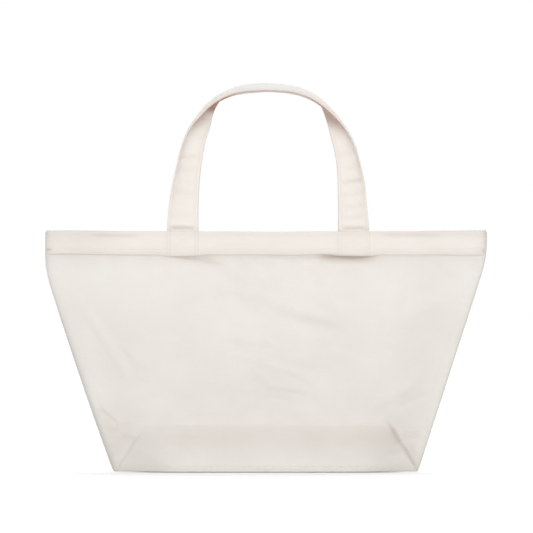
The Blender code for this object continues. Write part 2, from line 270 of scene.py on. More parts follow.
def relief(side, x, z, reachShare):
    # How far the cloth stands out from the loft. reachShare is 1 in the middle and 0 at the side seam.
    x, z, reachShare = np.broadcast_arrays(x, z, reachShare)
    seed = lie["seed"][side]
    free = ease(0, 0.1, reachShare) * ease(0, 0.035, z)
    rise = np.sin(pi * np.clip(z / lie["bellyTop"], 0, 1)) ** 1.3
    belly = lie["belly"] * rise * (1 - (x / lie["bellyEnd"]) ** 2)
    hollow = lie["hollow"] * hill(z, *lie["hollowAt"]) * (1 - ease(0.05, 0.22, abs(x - 0.01)))
    run, fall = lie["slant"]
    along, across = run * x - fall * z, fall * x + run * z
    soft = layered(along, across, lie["soft"], seed)
    fine = layered(along, across, lie["fine"], seed) + layered(x, z, lie["grain"], seed)
    patchy = ease(-0.05, 0.45, cloudy(x, z, 0.085, seed + 31))
    fine += lie["crumple"] * patchy * (1 - abs(cloudy(along * 0.4, across, 0.036, seed + 29))) ** 5
    loose = hill(x, 0.01, 0.115) * ease(0.075, 0.11, z)
    rumpled = mix(lie["calm"], lie["looseSoft"], loose) * soft
    rumpled += mix(lie["calm"], lie["looseFine"], loose) * fine
    found = (belly - hollow) * free + rumpled * mix(0.25, 1, free) * ease(0, 0.012, z)
    found += mm * foldLines(x, z, folds[side]) * ease(0, 0.02, z)
    found += band["step"] * inBand(x, z)
    found += band["ridge"] * hill(z, band["top"], 0.0016) * ease(0.2, 0.17, abs(x))
    ripple = np.sin(z / lie["ripplePitch"] + 2.2 * cloudy(x, z, 0.03, seed + 17))
    found += lie["ripple"] * ripple * hill(reachShare, 0.02, 0.035)
    gather = np.sin(x / lie["gatherPitch"] + 2 * cloudy(x, z, 0.02, seed + 19))
    found += lie["gather"] * gather * hill(z, 0.0068, 0.006)
    found -= lie["row"] * sum(hill(z, row, 0.0008) for row in baseRows)
    # The hem is stiff, and the cloth falls in below it
    wave = layered(x, z, lie["wave"], seed) * ease(0, 0.15, reachShare)
    stiff = (found * 0.35 + wave) * (1 - nearLeg(x, 0.026, 0.06))
    found = mix(found, stiff, ease(0.318, 0.324, z))
    return found - pulledIn(side, x, z, 0.35) * ease(0.288, 0.3215, z) * (1 - ease(0.3225, 0.3275, z))


def seamPlace(x, z):
    # Middle of the bag to the last column before the nearer side seam
    climb = softMin(z / byHand(x, bag["knee"]), 1, bag["kneeEase"])
    return mix(bag["baseHalf"], bag["mouthHalf"], climb) - bag["seamInset"]


def loftPlace(side, u, z):
    # A place on the smooth loft. u runs from -1 at the left seam to 1 at the right one.
    climb = softMin(z / bag["kneeMiddle"], 1, bag["kneeEase"])
    flat = mix(bag["baseFlat"], bag["mouthFlat"], climb)
    reach = mix(bag["baseReach"], bag["mouthReach"], climb)
    drawnIn = byHand(u, [curveThrough(z, bag["drawnIn"], column) for column in (1, 2)])
    seam = seamPlace(u, z) - drawnIn - bag["footInset"] * np.exp(-z / bag["footFade"])
    out = abs(u)
    taper = np.clip((out - bag["flatShare"]) / (1 - bag["flatShare"]), 0, 1)
    x = byHand(u, (left, right)) * (flat * np.clip(out / bag["flatShare"], 0, 1) + (seam - flat) * taper)
    reachShare = (1 + np.cos(pi * taper ** bag["taperPower"])) / 2
    return points(x, side * mix(bag["seamReach"], reach, reachShare), z), reachShare


def bodyPlace(side, u, z, lift=0):
    # A place lift metres outside the middle of the cloth, and the outward direction there
    u, z = np.broadcast_arrays(np.asarray(u, float), np.asarray(z, float))
    place, reachShare = loftPlace(side, u, z)
    nudge = 1e-4
    acrossCloth = loftPlace(side, u + nudge, z)[0] - loftPlace(side, u - nudge, z)[0]
    upCloth = loftPlace(side, u, z + nudge)[0] - loftPlace(side, u, z - nudge)[0]
    outward = unit(np.cross(acrossCloth, upCloth)) * -side
    outward = outward * np.where(outward[..., 1:2] * side < 0, -1, 1)
    return place + outward * (relief(side, place[..., 0], z, reachShare) + lift)[..., None], outward


def addPiece(name, data, material=None):
    piece = bpy.data.objects.new(name, data)
    bpy.context.scene.collection.objects.link(piece)
    if material:
        data.materials.append(material)
    return piece


def clothMesh(name, places, faces, weave, material):
    mesh = bpy.data.meshes.new(name)
    mesh.from_pydata(places.reshape(-1, 3).tolist(), [], faces)
    woven = mesh.attributes.new("weavePlace", "FLOAT_VECTOR", "POINT")
    woven.data.foreach_set("vector", weave.astype(np.float32).ravel())
    mesh.shade_smooth()
    return addPiece(name, mesh, material)


def gridMesh(name, places, weave, shadeAndMottle, material, thickness=None, closed=False, paintedGrey=0):
    # weave is the place on the cloth itself, in metres. The next two are painted light: a warm painted shade,
    # with a little random mottling, and a cooler painted grey shade where the cloth turns away from the light,
    # on a strap's top a painted cool sky tint
    rows, columns = places.shape[:2]
    index = np.arange(rows * columns).reshape(rows, columns)
    here = index if closed else index[:, :-1]
    beside = np.roll(index, -1, axis=1) if closed else index[:, 1:]
    corners = (here[:-1], beside[:-1], beside[1:], here[1:])
    faces = np.stack([corner.ravel() for corner in corners], -1).tolist()
    if closed:
        faces += [index[0, ::-1].tolist(), index[-1].tolist()]
    piece = clothMesh(name, places, faces, weave, material)
    for word, amount in (("paintedShadeAndMottle", shadeAndMottle), ("paintedCoolGrey", paintedGrey)):
        shade = piece.data.attributes.new(word, "FLOAT", "POINT")
        shade.data.foreach_set("value", np.broadcast_to(amount, (rows, columns)).astype(np.float32).ravel())
    if thickness:
        solidify = piece.modifiers.new("Cloth thickness", "SOLIDIFY")
        solidify.thickness = thickness
        solidify.offset = 0
    return piece


def runLength(places):
    # Distance along a run of places, from its start
    steps = np.linalg.norm(np.diff(places, axis=-2), axis=-1)
    return np.concatenate([np.zeros(steps.shape[:-1] + (1,)), np.cumsum(steps, axis=-1)], -1)


def clothGrid(places, rowPlace):
    # weavePlace of a grid: along each row from its middle, and up the cloth
    along = runLength(places)
    return points(along - along[:, along.shape[1] // 2][:, None], np.asarray(rowPlace)[:, None], 0)


def fixToBag(piece, node):
    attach(piece, "bag")
    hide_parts(node)
    return piece


# Colours and surfaces
def srgb(code):
    channels = [int(code[i:i + 2], 16) / 255 for i in (1, 3, 5)]
    return tuple(c / 12.92 if c <= 0.04045 else ((c + 0.055) / 1.055) ** 2.4 for c in channels) + (1,)


def setInputs(node, inputs):
    # Sets each input, or links it where another node's output is given
    for name, value in inputs.items():
        if isinstance(value, bpy.types.NodeSocket):
            node.id_data.links.new(value, node.inputs[name])
        else:
            node.inputs[name].default_value = value


def addNode(tree, kind, inputs, **settings):
    # Adds a node and gives its outputs
    node = tree.nodes.new("ShaderNode" + kind)
    for name, value in settings.items():
        setattr(node, name, value)
    setInputs(node, inputs)
    return node.outputs


def newMaterial(name):
    material = bpy.data.materials.new(name)
    material.use_nodes = True
    tree = material.node_tree
    return material, partial(addNode, tree), tree.nodes["Principled BSDF"]


# Unbleached cotton canvas, woven plain and washed once: matt, creamy and faintly cloudy, with slubs.
# It gives the eye a warm off-white with no gloss at all.
canvasLook = {
    "light": "#eae7e1",
    "dark": "#dfdad3",
    "shade": "#c4b6ad",  # painted warm shade, under the hem, in hollows, folds and creases
    "edge": "#b3b3ad",  # painted cool grey shade where the cloth turns away from the light at a seam
    "thread": 0.0016,  # real ones are 0.55 mm apart, drawn three times as coarse to show
    "bend": 0.0007,  # how far a thread strays
    "bendLength": 1 / 90, "slubLength": 0.045, "slubWidth": 0.0016,
    "cloud": 1 / 14,  # the tone of washed cloth varies over about 70 mm
    "fibre": 1 / 900,  # real ones are 0.02 mm thick, drawn as a nap of 1.1 mm to show
    "relief": 0.00022, "roughness": 0.92, "sheen": 0.1,
}


def canvasMaterial(name, **changes):
    look = {**canvasLook, **changes}
    material, add, shader = newMaterial(name)
    place = add("Attribute", {}, attribute_name="weavePlace")["Vector"]
    # The painted shade with its random mottling, and the painted cool grey, as the mesh carries them
    shadeAndMottle = add("Attribute", {}, attribute_name="paintedShadeAndMottle")["Fac"]
    paintedGrey = add("Attribute", {}, attribute_name="paintedCoolGrey")["Fac"]
    # Threads bend a little, so the place is nudged before the weave is drawn
    drift = add("TexNoise", {"Vector": place, "Scale": 1 / look["bendLength"], "Detail": 1})["Color"]
    nudge = {0: drift, 1: (look["bend"], look["bend"], 0), 2: place}
    bent = add("VectorMath", nudge, operation="MULTIPLY_ADD")["Vector"]
    # A wave's period is 0.314 of its unit, so this puts the crowns in the checks' middles
    waves = {"Vector": bent, "Scale": pi / 10 / look["thread"]}
    warp, weft = (add("TexWave", waves, bands_direction=way)["Fac"] for way in "XY")
    over = add("TexChecker", {"Vector": bent, "Scale": 1 / look["thread"]})["Fac"]
    weave = add("Mix", {"Factor": over, "A": warp, "B": weft})["Result"]
    # Thick places in the yarn, long one way for the warp and the other for the weft
    wide, long = 1 / look["slubWidth"], 1 / look["slubLength"]
    slubs = []
    for scale in ((wide, long, 1), (long, wide, 1)):
        placed = add("Mapping", {"Vector": place, "Scale": scale})["Vector"]
        slubs.append(add("TexNoise", {"Vector": placed, "Scale": 1, "Detail": 1})["Fac"])
    slub = add("Math", {0: slubs[0], 1: slubs[1]}, operation="MAXIMUM")[0]
    clouds = {"Vector": place, "Scale": 1 / look["cloud"], "Detail": 4, "Roughness": 0.55}
    cloud = add("TexNoise", clouds)["Fac"]
    fibre = add("TexNoise", {"Vector": place, "Scale": 1 / look["fibre"], "Detail": 2})["Fac"]
    # Cloudy, darker between threads, lighter on slubs, then the painted shade and the painted cool grey mixed
    # in
    parts = []
    for source, fromMin, fromMax, toMin, toMax in (
            (cloud, 0.3, 0.7, 0.12, 0.42), (weave, 0, 0.55, 0.22, 0), (slub, 0.56, 0.74, 0, -0.1)):
        span = {"From Min": fromMin, "From Max": fromMax, "To Min": toMin, "To Max": toMax}
        parts.append(add("MapRange", {"Value": source, **span})["Result"])
    darker = add("Math", {0: parts[0], 1: parts[1]}, operation="ADD")[0]
    darker = add("Math", {0: darker, 1: parts[2]}, operation="ADD", use_clamp=True)[0]
    colour = srgb(look["light"])
    for factor, towards in ((darker, "dark"), (shadeAndMottle, "shade"), (paintedGrey, "edge")):
        layers = {"Factor": factor, "A": colour, "B": srgb(look[towards])}
        colour = add("Mix", layers, data_type="RGBA")["Result"]
    span = {"To Min": look["roughness"] - 0.06, "To Max": look["roughness"] + 0.05}
    rough = add("MapRange", {"Value": fibre, **span})["Result"]
    # The weave, raised slubs and a nap of loose fibre
    raised = add("Math", {0: slub, 1: 0.9, 2: weave}, operation="MULTIPLY_ADD")[0]
    height = add("Math", {0: fibre, 1: 0.35, 2: raised}, operation="MULTIPLY_ADD")[0]
    bump = add("Bump", {"Height": height, "Strength": 0.6, "Distance": look["relief"]})["Normal"]
    setInputs(shader, {"Base Color": colour, "Roughness": rough, "Normal": bump, "IOR": 1.47,
                       "Specular IOR Level": 0.25, "Sheen Weight": look["sheen"], "Sheen Roughness": 0.6})
    return material


panelCanvas = canvasMaterial("washed plain-weave cotton canvas")
# Folded double and ironed, so a little smoother and lighter
hemCanvas = canvasMaterial("cotton canvas folded double and pressed", light="#ece7e1", dark="#e3ddd4",
                           relief=0.00018)
# A touch warmer, because light only reaches it off the cloth round it
gussetCanvas = canvasMaterial("cotton canvas of the gusset", light="#e8e1d9")
# Four layers pressed hard: the smoothest, with a painted brown shade deep in its roll and a painted cool sky
# tint on its top
strapCanvas = canvasMaterial("cotton canvas strap folded and pressed", light="#eee9e3", dark="#e5ded7",
                             shade="#b68d7d", edge="#c4dde6", thread=0.0014, relief=0.00011, sheen=0.08)
# Narrow woven cotton tape: finer than the canvas, flat and slightly yellower
seamTape = canvasMaterial("woven cotton seam tape", light="#efe7d8", dark="#e2d8c6", thread=0.0009,
                          slubWidth=0.0009, relief=0.00012)

# Two-ply spun cotton, lightly waxed: a touch brighter than the cloth, with its twist showing
threadLook = {"light": "#f4ece2", "dark": "#ddd0c4", "twist": 0.0008, "relief": 0.0001, "roughness": 0.7,
              "sheen": 0.15}


def threadMaterial(name, look):
    material, add, shader = newMaterial(name)
    place = add("Attribute", {}, attribute_name="weavePlace")["Vector"]
    # The plies wind round the thread, so they cross it at a slant
    waves = {"Vector": place, "Scale": pi / 10 / look["twist"]}
    ply = add("TexWave", waves, bands_direction="DIAGONAL")["Fac"]
    layers = {"Factor": ply, "A": srgb(look["dark"]), "B": srgb(look["light"])}
    colour = add("Mix", layers, data_type="RGBA")["Result"]
    bump = add("Bump", {"Height": ply, "Strength": 0.5, "Distance": look["relief"]})["Normal"]
    setInputs(shader, {"Base Color": colour, "Roughness": look["roughness"], "Normal": bump, "IOR": 1.5,
                       "Sheen Weight": look["sheen"]})
    return material


cottonThread = threadMaterial("spun cotton thread", threadLook)
print("materials ready")


# Front and rear panels
panel = {
    "columns": 300,
    # Rows as runs from, to and step, closest where the relief is fine
    "rows": [(0.0016, 0.016, 0.0009), (0.016, 0.066, 0.0024), (0.066, 0.076, 0.001),
             (0.076, 0.285, 0.0034), (0.285, 0.322, 0.0016), (0.322, panelTop, 0.004)],
    "foot": 0.0008,  # radius of the turn at the floor
    "rollSteps": 6,  # round the side seam
    "allowance": 0.009,  # cloth turned inwards at the side seam
    "seamGap": 0.00015,
    "seamShade": 0.14,  # painted shade on the thick rolled seams, which turn away from the light
    # Painted shade in the pressed gusset band, towards the bottom, on the sides and below the hem
    "bandShade": 0.24, "lowShade": 0.09, "sideShade": 0.07, "hemShade": 0.3,
    "pullShade": 160,  # painted shade in the hollows below the hem, for each metre pulled in
    "edgeFade": (0.0048, 0.0026),
    # Painted shade along the front's creases, for foldLines
    "shadeLines": [(-138, 322.2, -58, 307.2, 5.2, 0.17), (225.5, 2, 179, 80, 2.6, 0.34),
                   (226.2, 2, 204, 42, 1.7, 0.34), (197, 42, 187, 67, 5, 0.22),
                   (199, 49, 232, 57, 4.5, 0.17), (227, 6, 213, 46, 8.5, 0.26),
                   (-229, 6, -239, 30, 9, 0.16), (-223.5, 2, -190, 56, 2.2, 0.2),
                   (-252, 92, -222, 60, 8, 0.16), (-216, 54.5, -196, 52.5, 4, 0.14)],
    "mottle": [(0.05, 0.08, 0, 1, 1), (0.03, 0.022, 6, 0.8, 1)],
}


def spaced(stops):
    # Joins up (start, end, step) runs
    found = []
    for start, end, step in stops:
        count = max(1, round(abs(end - start) / step))
        found += list(np.linspace(start, end, count, endpoint=False))
    return np.array(found + [stops[-1][1]])


def panelShadeAndMottle(side, x, z):
    # Painted shade: in the band that the stored bag's folded gusset pressed, strongest below its upper fold,
    # more towards the bottom and on the sides, less low on the left, below the hem, in the hollows, along the
    # front's creases and in its lower left corner; then a random mottle
    seed = 2 if side == front else 31
    uneven = 0.85 + 0.3 * cloudy(x, z, 0.07, seed + 4)
    shadeAndMottle = panel["bandShade"] * inBand(x, z) * hill(z, 0.053, 0.022) * uneven
    shadeAndMottle += panel["lowShade"] * (1 - ease(0.1, 0.27, z)) * mix(0.3, 1, ease(0.01, 0.05, z))
    shadeAndMottle += panel["sideShade"] * ease(0.06, 0.14, abs(x)) * hill(z, 0.215, 0.045)
    shadeAndMottle -= 0.08 * ease(0.12, 0.17, -x) * hill(z, 0.107, 0.03)
    shadeAndMottle += panel["hemShade"] * np.exp(-np.clip(hemBottom - z, 0, None) / 0.0085)
    shadeAndMottle += panel["pullShade"] * pulledIn(side, x, z, 0.3) * ease(0.309, 0.3225, z)
    if side == front:
        shadeAndMottle += foldLines(x, z, panel["shadeLines"])
        shadeAndMottle += 0.2 * hill(z, 0.028, 0.034) * ease(0.004, 0.024, -x - bandEdge(x, z))
    return np.clip(shadeAndMottle + layered(x, z, panel["mottle"], seed), 0, 1)


def paintedEdgeGrey(x, z, fade):
    # Painted grey shade where the cloth turns away from the light towards the side seams and the floor, more at
    # the lower corners and along the foot
    away = np.clip(seamPlace(x, z) - abs(x), 0, None)
    paintedGrey = 0.47 * np.exp(-away / byHand(x, fade)) + 0.15 * np.exp(-away / 0.001)
    paintedGrey += 0.03 * hill(away, 0, 0.045)
    paintedGrey += byHand(x, (0.11, 0.06)) * hill(away, 0, 0.03) * (1 - ease(0, 0.1, z))
    return paintedGrey + 0.04 * (1 - ease(0.0095, 0.012, z)) + 0.18 * np.exp(-z / 0.0035)


def makePanel(side):
    foot, z = panel["foot"], spaced(panel["rows"])
    u = np.linspace(-1, 1, panel["columns"] + 1)
    places, outward = bodyPlace(side, u[None, :], z[:, None])
    # Turn under at the floor
    turned = []
    for swing in np.radians((90, 60, 30)):
        low = places[0] - outward[0] * foot * sin(swing)
        low[:, 2] = foot + foot * cos(swing)
        turned.append(low)
    places = np.concatenate([np.stack(turned), places])
    heights = np.concatenate([[foot, foot * 1.3, foot * 1.7], z])
    # Round the side seam and back inside as an allowance, cut away inside the hem
    inner = cloth / 2 + panel["seamGap"]
    reach = panel["allowance"] * (1 - ease(0.312, 0.322, heights)) * ease(0, 0.03, heights) + 0.0004
    rolls = []
    for hand, edge in ((left, places[:, 0]), (right, places[:, -1])):
        x, y, level = edge.T
        radius, strips = (abs(y) - inner) / 2, []
        for swing in np.linspace(0, pi, panel["rollSteps"] + 1)[1:]:
            depth = inner + radius * (1 + cos(swing))
            strips.append(points(x + hand * radius * sin(swing), side * depth, level))
        for share in (0.33, 0.66, 1):
            strips.append(points(x - hand * reach * share, side * inner, level))
        rolls.append(np.stack(strips[::hand], 1))
    places = np.concatenate([rolls[0], places, rolls[1]], 1)
    x, z = places[..., 0], places[..., 2]
    shadeAndMottle = panelShadeAndMottle(side, x, z)
    # Painted shade on the rolled seams
    rolled = panel["rollSteps"] + 4
    shadeAndMottle[:, :rolled] += panel["seamShade"]
    shadeAndMottle[:, -rolled:] += panel["seamShade"]
    # Painted grey shade at the edges, and a little more towards the bottom
    paintedGrey = paintedEdgeGrey(x, z, panel["edgeFade"]) + 0.025 * (1 - ease(0.1, 0.27, z))
    name = sideNames[side] + "_panel"
    weave = clothGrid(places, heights)
    piece = gridMesh(name + "_canvas", places, weave, shadeAndMottle, panelCanvas, cloth, paintedGrey=paintedGrey)
    return fixToBag(piece, name)


panels = {side: makePanel(side) for side in (front, rear)}
print("panels ready")


# Base gusset: flat in the middle, rising to an upside-down V towards the side seams
gusset = {
    "columns": 160, "rows": 34,
    "clear": 0.0015,  # from the panels, and from the side seams
    "seamClear": 0.004, "floorGap": 0.0001,
    "ridge": 0.03,  # rounding of its fold, as a share of half the width
    "sag": [(0.0016, 0.05, 41, 1, 1), (0.0006, 0.02, 47, 1, 1)],
    # painted shade, as it lies low in the bag
    "shade": 0.06,
}


def makeGusset():
    layerFold = layer / 2
    leg = bag["baseReach"] - gusset["clear"] - layerFold
    foot, _ = loftPlace(rear, np.linspace(-1, 1, gusset["columns"] + 1), 0)
    footY = np.maximum(foot[:, 1] - gusset["clear"], layerFold)
    lean = np.arccos(np.clip((footY - layerFold) / leg, 0, 1))
    # From the front edge to the rear one, rounded at the ridge
    across = np.linspace(-1, 1, 2 * gusset["rows"] + 1)[:, None]
    rounded = np.hypot(across, gusset["ridge"]) - gusset["ridge"]
    rounded = rounded / rounded.max()
    y = footY * across
    z = cloth / 2 + gusset["floorGap"] + leg * np.sin(lean) * (1 - rounded)
    wider = mix(bag["baseHalf"], bag["mouthHalf"], z / bag["kneeMiddle"])
    x = foot[:, 0] * wider / bag["baseHalf"]
    x = np.sign(x) * np.minimum(abs(x), wider - gusset["seamClear"])
    sag = np.maximum(layered(x, y, gusset["sag"]) * (1 - abs(across) ** 6), 0)
    places = points(x, y, z + sag * mix(0.5, 1, ease(0, 0.02, z)))
    weave = clothGrid(places, across[:, 0] * (leg + layerFold))
    piece = gridMesh("base_gusset_canvas", places, weave, gusset["shade"], gussetCanvas, cloth)
    return fixToBag(piece, "base_gusset")


gussetPiece = makeGusset()
print("gusset ready")


# Hem: a folded band over each panel's top edge, its own lower edges turned under
hem = {
    "columns": 330, "turnUnder": 0.008,
    "edgeLift": 0.0019,  # its folded lower edge, from the middle of the panel
    "edgeRadius": 0.00052,
    "doubledLift": 0.0026,  # just above, where the cloth behind is doubled
    "faceLift": 0.0016,  # and higher up
    "puff": 0.0008,  # it bulges this much halfway up
    "rows": [0.003, 0.0075],  # stitching above the lower edge
    "groove": 0.00016, "grooveWidth": 0.0009, "pucker": 0.0001,
    "puckerPitch": 0.0032,  # stitch length
    "boxGroove": 0.0003,
    "boxRaise": 0.0009,  # the strap behind pushes the hem out
    "boxInset": 0.0045, "boxBottom": 0.0105, "boxTop": 0.003,
    "farAside": 9,  # a place this far off has no strap behind it
    "endShare": 0.035,  # share over which the ends close
    "endFlat": 0.45, "edgeFade": (0.006, 0.0058),
    # The front's lines of painted shade for foldLines, and its spots of painted shade as (shade, x, half width,
    # z, half height)
    "shadeLines": [(-262, 354, -186, 353, 2.4, 0.24), (170, 354.8, 262, 354, 3.4, 0.22)],
    "spots": [(0.8, -0.3275, 0.0056, 0.3325, 0.002), (0.4, 0.3255, 0.005, 0.3315, 0.003)],
}
boxHalf = halfStrap - hem["boxInset"]
boxLow, boxHigh = hemBottom + hem["boxBottom"], bag["top"] - hem["boxTop"]


def outerLift(x, z):
    # Lift of the hem's outer face, with the grooves that the stitching pulls
    above, width = z - hemBottom, hem["grooveWidth"]
    lift = mix(hem["edgeLift"], hem["doubledLift"], ease(0, 0.006, above))
    lift = mix(lift, hem["faceLift"], ease(0.007, 0.015, above))
    lift += hem["puff"] * hill(above, 0.019, 0.008) * (1 + 0.8 * cloudy(x, 0, 0.05, 83))
    groove = hem["groove"] + hem["pucker"] * np.sin(2 * pi * x / hem["puckerPitch"])
    lift -= groove * sum(hill(above, row, width) for row in hem["rows"])
    for leg in legs:
        aside = abs(x - leg)
        inBox = 1 - ease(0, 0.001, np.maximum(boxLow - z, z - boxHigh))
        inBox *= 1 - ease(0, 0.001, aside - boxHalf)
        ends = np.maximum(hill(z, boxLow, width), hill(z, boxHigh, width))
        edges = np.maximum(hill(aside, boxHalf, width), ends)
        level = (z - (boxLow + boxHigh) / 2) * 2 * boxHalf / (boxHigh - boxLow)
        crosses = hill(aside, abs(level), 0.001)
        lift += hem["boxRaise"] * (1 - ease(0.022, 0.0275, aside))
        lift -= hem["boxGroove"] * np.maximum(edges, crosses) * inBox
    return lift


def hemShift(x, z):
    # The top edge sags between the handles, and the lower one, turned by hand, runs unevenly
    sag = 0.0012 * ease(0.2, 0.3, abs(x)) - 0.0007 * hill(x, 0, 0.09)
    sag += 0.00035 * cloudy(x, 0, 0.06, 55)
    wander = 0.0013 * ease(0.215, 0.285, -x) + 0.001 * cloudy(x, 0, 0.055, 57)
    wander -= 0.0014 * nearLeg(x, 0.022, 0.04)
    return mix(wander, sag, ease(hemBottom, bag["top"], z))


def hemProfile():
    # (part, lift from the panel, height) from the turned-in outer edge to the inner one
    radius, edge, turn = hem["edgeRadius"], hem["edgeLift"], hem["turnUnder"]
    turned = [(edge - 2 * radius, hemBottom + turn * share) for share in (1, 0.6, 0.25)]
    for swing in np.radians(range(0, 181, 30)):
        turned.append((edge - radius * (1 + cos(swing)), hemBottom + radius * (1 - sin(swing))))
    profile = [("outer turn", lift, z) for lift, z in turned]
    profile += [("outer face", 0, z) for z in spaced([
        (hemBottom + 0.0012, hemBottom + 0.012, 0.0007), (hemBottom + 0.012, panelTop - 0.004, 0.0011),
        (panelTop - 0.004, panelTop, 0.0011)])]
    for swing in np.radians(range(15, 180, 15)):
        profile.append(("top fold", cos(swing), panelTop + layer * sin(swing)))
    profile += [("inner face", 0, z) for z in spaced([
        (panelTop, hemBottom + 0.012, 0.0016), (hemBottom + 0.012, hemBottom + 0.0012, 0.0008)])]
    return profile + [("inner turn", -lift, z) for lift, z in turned[::-1]]


def hemLift(part, lift, x, z):
    # One row's distance from the middle of the panel
    strapBehind = np.clip(nearLeg(x, 0.024, 0.034), 0, 1)
    if part == "outer turn":
        return lift + outerLift(x, z) - outerLift(x + hem["farAside"], z)
    if part == "outer face":
        return outerLift(x, z)
    if part == "top fold":
        return mix(-layer, outerLift(x, panelTop), (lift + 1) / 2)
    if part == "inner face":
        return mix(-mix(hem["edgeLift"], layer, ease(0.007, 0.013, z - hemBottom)), -layer, strapBehind)
    return lift + (hem["edgeLift"] - layer) * strapBehind


def hemShadeAndMottle(side, x, z):
    # Painted shade along the lower edge, the straps' edges and the box stitching, near the top, at the ends,
    # along creases and in spots, with a random mottle
    shadeAndMottle = 0.03 + 0.18 * (1 - ease(0, 0.006, z - hemBottom)) + 0.05 * cloudy(x, z * 2, 0.05, 87)
    for leg in legs:
        aside = abs(x - leg) - halfStrap
        shadeAndMottle += 0.16 * hill(aside, 0, 0.0012) + 0.12 * hill(aside, -hem["boxInset"], 0.0012)
    shadeAndMottle += 0.09 * hill(z, 0.3555, 0.0045) + 0.05 * hill(z, 0.3325, 0.0035)
    shadeAndMottle += ease(0.19, 0.255, -x) * (0.1 + 0.05 * ease(0.34, 0.346, z))
    if side == front:
        shadeAndMottle += foldLines(x, z, hem["shadeLines"])
        shadeAndMottle += 0.1 * ease(0.2, 0.29, x) * ease(0.346, 0.356, z)
        for shade, middleX, halfX, middleZ, halfZ in hem["spots"]:
            shadeAndMottle += shade * hill(x, middleX, halfX) * hill(z, middleZ, halfZ)
    return np.clip(shadeAndMottle, 0, 1)


def makeHem(side):
    u = np.linspace(-1, 1, hem["columns"] + 1)
    end = 1 - ease(0, hem["endShare"], 1 - abs(u))
    rows = []
    for part, lift, z in hemProfile():
        plain, outward = bodyPlace(side, u, z)
        x = plain[:, 0]
        # Inner layers stop before they meet the other hem's at the seam
        squeeze = np.clip((abs(plain[:, 1]) - cloth / 2 - 0.0002) / layer, 0, 4)
        place = plain + outward * np.maximum(hemLift(part, lift, x, z), -squeeze * layer)[:, None]
        # Close the ends round the seam
        depth = abs(place[:, 1])
        place[:, 1] = side * mix(depth, np.maximum(depth * hem["endFlat"], 0.0008), end**3)
        place[:, 2] = z + hemShift(x, z)
        rows.append(place)
    places = np.stack(rows)
    x, z = places[..., 0], places[..., 2]
    # Painted grey shade at the edges, and more on the right end, which turns away from the light
    paintedGrey = 0.95 * paintedEdgeGrey(x, z, hem["edgeFade"]) + 0.18 * ease(0.324, 0.3256, x)
    weave = clothGrid(places, runLength(places[:, len(u) // 2]))
    name = sideNames[side]
    piece = gridMesh(name + "_hem_canvas", places, weave, hemShadeAndMottle(side, x, z), hemCanvas, cloth, paintedGrey=paintedGrey)
    return fixToBag(piece, name + "_top_hem")


hems = {side: makeHem(side) for side in (front, rear)}
print("hems ready")


# Side seam bindings: tape folded round the allowances inside the bag
binding = {
    "thickness": 0.0005, "from": 0.0018, "reach": 0.0115, "halfWidth": 0.00168, "belowHem": 0.001,
    # shade is a little painted shade, inside the bag
    "step": 0.0022, "ripple": 0.00025, "ripplePitch": 0.0024, "stray": 0.0004, "shade": 0.05,
}


def makeBinding(hand):
    name = handNames[hand]
    z = spaced([(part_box(name + "_side_seam_binding")[0].z, hemBottom - binding["belowHem"], binding["step"])])
    seam = loftPlace(rear, hand + 0 * z, z)[0][:, 0]
    ripple = binding["ripple"] * np.sin(z / binding["ripplePitch"])
    ripple += binding["stray"] * cloudy(z, 0, 0.03, 61 + hand)
    half = binding["halfWidth"]
    inner = seam - hand * (binding["reach"] + ripple - half)
    outer = seam - hand * binding["from"]
    shares = np.linspace(0, 1, 5)
    columns = [points(mix(outer, inner, share), half, z) for share in shares]
    for swing in np.radians(range(20, 180, 20)):
        columns.append(points(inner - hand * half * sin(swing), half * cos(swing), z))
    columns += [points(mix(outer, inner, share), -half, z) for share in shares[::-1]]
    places = np.stack(columns, 1)
    piece = gridMesh(name + "_seam_tape", places, clothGrid(places, z), binding["shade"], seamTape,
                     binding["thickness"])
    return fixToBag(piece, name + "_side_seam_binding")


bindings = {hand: makeBinding(hand) for hand in (left, right)}
print("seam tapes ready")


